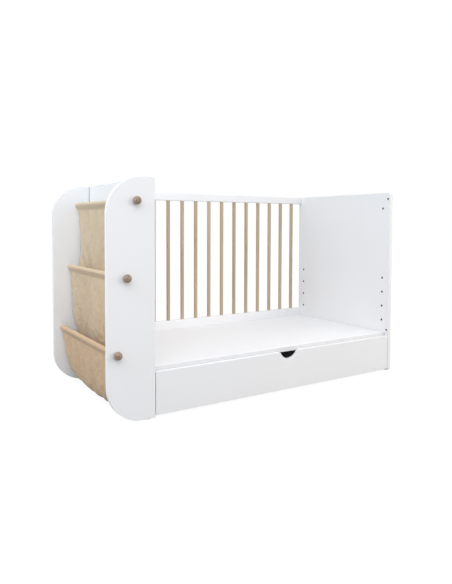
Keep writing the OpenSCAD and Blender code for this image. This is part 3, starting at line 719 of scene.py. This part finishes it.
def pocket(name, rod_out, rod_z, anchor_z, handles, seed):
    """A sling of canvas: a hem round its rod, a hung drape, and a loop round its anchor rod."""
    rng = np.random.default_rng(seed)
    rod = np.array([HEAD_X - rod_out, rod_z])
    anchor = np.array([HEAD_X - ANCHOR_OUT, anchor_z])
    y0 = POCKET_Y0 + FABRIC_GAP
    y1 = POCKET_Y1 - FABRIC_GAP
    width = y1 - y0
    grid = drape(hanging_line(rod, anchor, handles), y0, width, rng)
    rows, columns = grid.shape[:2]
    # Fine rows and columns between hem and anchor rod
    edge = np.array(EDGE_COLUMNS) / width
    inner = np.linspace(INNER_FROM / width, 1 - INNER_FROM / width, INNER_COLUMNS)
    fine_across = np.concatenate([edge, inner, 1 - edge[::-1]])
    fine_down = np.linspace(0, 1, 2 * rows - 1)
    my = spline_matrix(rows, fine_down * (rows - 1))
    mx = spline_matrix(columns, fine_across * (columns - 1))
    body = np.stack([my @ grid[..., k] @ mx.T for k in range(3)], axis=2)
    hem = hem_profile(rod)
    columns_y = y0 + width * fine_across
    tail_rows = band(anchor_profile(anchor), columns_y)
    middle = np.concatenate([band(hem, columns_y), body, tail_rows])
    # Small puckers along the hem's seam
    pucker = np.zeros(len(fine_across))
    for _ in range(PUCKER_COUNT):
        k = rng.uniform(9, 40)
        phase = rng.uniform(0, 2 * math.pi)
        pucker += rng.uniform(0.3, 1.0) * np.sin(2 * math.pi * k * fine_across + phase)
    near = np.exp(-((np.arange(len(middle)) - len(hem)) / PUCKER_ROWS) ** 2)
    middle[..., 0] -= PUCKER_H * near[:, None] * pucker[None, :]
    normal = grid_normals(middle)
    thick = np.full(middle.shape[:2], SINGLE_T)
    folded = (fine_across * width < FOLD_W) | ((1 - fine_across) * width < FOLD_W)
    thick[:, folded] = FOLDED_T
    centre = len(fine_across) // 2
    step = run_of(middle[:, centre])
    cut = np.zeros((*middle.shape[:2], 2))
    cut[..., 0] = (width * fine_across)[None, :]
    cut[..., 1] = step[:, None]
    piece = closed_sheet(name + "_cloth", middle, normal, thick, cut)
    dress(piece, CLOTH_LOOK[name])
    # Seams, on the side that is seen
    row = len(hem) - SEAM_ROWS_UP
    out_side = 1.0 if normal[row, centre, 0] < 0 else -1.0
    outer = middle + out_side * normal * (thick[..., None] / 2 + STITCH_LIFT)
    facing = out_side * normal
    seams = [seam_row(name + "_hem_seam", outer[row, 2:-2], facing[row, 2:-2])]
    rear = 1 - EDGE_SEAM_IN / width
    front = EDGE_SEAM_IN / width
    for label, y_in in (("_rear_edge_seam", rear), ("_front_edge_seam", front)):
        j = np.searchsorted(fine_across, y_in)
        f = (y_in - fine_across[j - 1]) / (fine_across[j] - fine_across[j - 1])
        path = outer[row:, j - 1] * (1 - f) + outer[row:, j] * f
        sides = facing[row:, j]
        seams.append(seam_row(name + label, path[:-EDGE_SEAM_SHORT], sides[:-EDGE_SEAM_SHORT]))
    for seam in seams:
        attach(seam, "frame")
    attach(piece, "frame")
    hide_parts(name)
    "rod_" + name.split("_")[1]


# Each pocket: how far its rod is out from the head panel and how high, the height of its
# anchor rod, the two handles of its curve (out and down), and the seed of its small waves
pocket("pocket_top", 0.072, 0.775, 0.475, ((0.069, 0.149), (0.065, 0.079)), 11)
pocket("pocket_middle", 0.109, 0.507, 0.205, ((0.110, 0.117), (0.095, 0.120)), 12)
pocket("pocket_bottom", 0.144, 0.244, 0.046, ((0.137, 0.164), (0.120, 0.090)), 13)


# The studio

# Size of the photograph in pixels, and the camera that a fit to about 60 points of it gave
PHOTO_W = 452
PHOTO_H = 584
SENSOR = 36.0
CAMERA = {
    "place": (-1.37889, -2.13268, 0.69508),
    "yaw": 0.5806,
    "pitch": 0.0421,
    "roll": 0.0032,
    "focal": 560.47,
    "u0": 233.14,
    "v0": 247.50,
}
FLOOR_HALF = 14.0
FLOOR_Z = -0.0004
FLOOR_GREY = (0.32, 0.32, 0.32, 1.0)
FLOOR_GLOW = 1.03
PLAIN_WHITE = (1.0, 1.0, 1.0, 1.0)
SKY = (0.997, 0.986, 1.0, 1.0)
# The sky's strength at the horizon and higher up
SKY_LOW = 0.43
SKY_HIGH = 1.05
SKY_HIGH_AT = 0.9


def floor_look():
    """A pale floor that the camera sees as white with a faint shadow."""
    t = Tree(bpy.data.materials.new("studio_floor"))
    rays = t.node("LightPath").outputs
    bounced = t.plus(rays["Is Glossy Ray"], rays["Is Transmission Ray"])
    seen = t.math("MINIMUM", t.plus(rays["Is Camera Ray"], bounced), 1.0)
    plain = t.node("BsdfDiffuse", {"Color": FLOOR_GREY}).outputs[0]
    bright = t.node("BsdfDiffuse", {"Color": PLAIN_WHITE}).outputs[0]
    glow = t.node("Emission", {"Color": PLAIN_WHITE, "Strength": FLOOR_GLOW}).outputs[0]
    lit = t.node("MixShader", {0: 0.1, 1: glow, 2: bright}).outputs[0]
    return t.show(t.node("MixShader", {0: seen, 1: plain, 2: lit}).outputs[0])


def make_floor():
    half = FLOOR_HALF
    corners = [(-half, -half, 0), (half, -half, 0), (half, half, 0), (-half, half, 0)]
    mesh = bpy.data.meshes.new("studio_floor")
    mesh.from_pydata(corners, [], [(0, 1, 2, 3)])
    floor = add_piece("studio_floor", mesh)
    floor.location = (0.0, 0.0, FLOOR_Z)
    dress(floor, floor_look())


def make_sky():
    """White to the camera. As light, it is stronger from above than from the sides."""
    world = bpy.data.worlds.new("studio")
    scene.world = world
    t = Tree(world, "OutputWorld")
    up = t.split(t.node("TexCoord").outputs["Generated"])["Z"]
    strength = t.remap(up, 0.0, SKY_HIGH_AT, SKY_LOW, SKY_HIGH)
    soft = t.node("Background", {"Color": SKY, "Strength": strength}).outputs[0]
    plain = t.node("Background", {"Color": PLAIN_WHITE, "Strength": 1.0}).outputs[0]
    rays = t.node("LightPath").outputs
    seen = t.plus(rays["Is Camera Ray"], rays["Is Transmission Ray"])
    t.show(t.node("MixShader", {0: seen, 1: soft, 2: plain}).outputs[0])


def lamp(name, place, aim, size, power, colour):
    """A rectangular lamp at a place, turned towards another. Its power is in watts."""
    data = bpy.data.lights.new(name, "AREA")
    data.shape = "RECTANGLE"
    data.size, data.size_y = size
    data.energy = power
    data.color = colour
    piece = add_piece(name, data)
    piece.location = place
    piece.rotation_mode = "QUATERNION"
    piece.rotation_quaternion = (Vector(aim) - Vector(place)).to_track_quat("-Z", "Y")


def make_camera():
    """The photograph's camera."""
    yaw = CAMERA["yaw"]
    pitch = CAMERA["pitch"]
    roll = CAMERA["roll"]
    level = math.cos(pitch)
    ahead = Vector((math.sin(yaw) * level, math.cos(yaw) * level, -math.sin(pitch)))
    side = ahead.cross(Vector((0, 0, 1))).normalized()
    up = side.cross(ahead)
    right = side * math.cos(roll) + up * math.sin(roll)
    top = -side * math.sin(roll) + up * math.cos(roll)
    data = bpy.data.cameras.new("camera")
    data.sensor_fit = "AUTO"
    data.sensor_width = SENSOR
    data.lens = CAMERA["focal"] / PHOTO_H * SENSOR
    data.shift_x = (PHOTO_W / 2 - CAMERA["u0"]) / PHOTO_H
    data.shift_y = (CAMERA["v0"] - PHOTO_H / 2) / PHOTO_H
    data.clip_start = 0.05
    data.clip_end = 100.0
    piece = bpy.data.objects.new("camera", data)
    turn = Matrix((right, top, -ahead)).transposed()
    piece.matrix_world = Matrix.Translation(CAMERA["place"]) @ turn.to_4x4()
    scene.collection.objects.link(piece)
    scene.camera = piece


make_floor()
make_sky()
# Each lamp: its place, what it is turned towards, its size, power and colour
lamp("right", (2.6, -2.8, 1.4), (0.4, 0.0, 0.4), (3.6, 2.6), 49.0, (1.0, 0.945, 0.865))
lamp("front", (-1.4, -1.9, 2.3), (-0.6, -0.3, 0.7), (1.8, 1.8), 21.5, (0.86, 0.925, 1.0))
lamp("left", (-2.0, -0.33, 1.4), (-0.6, 0.1, 0.6), (0.9, 0.9), 14.0, (0.72, 0.855, 0.95))
make_camera()
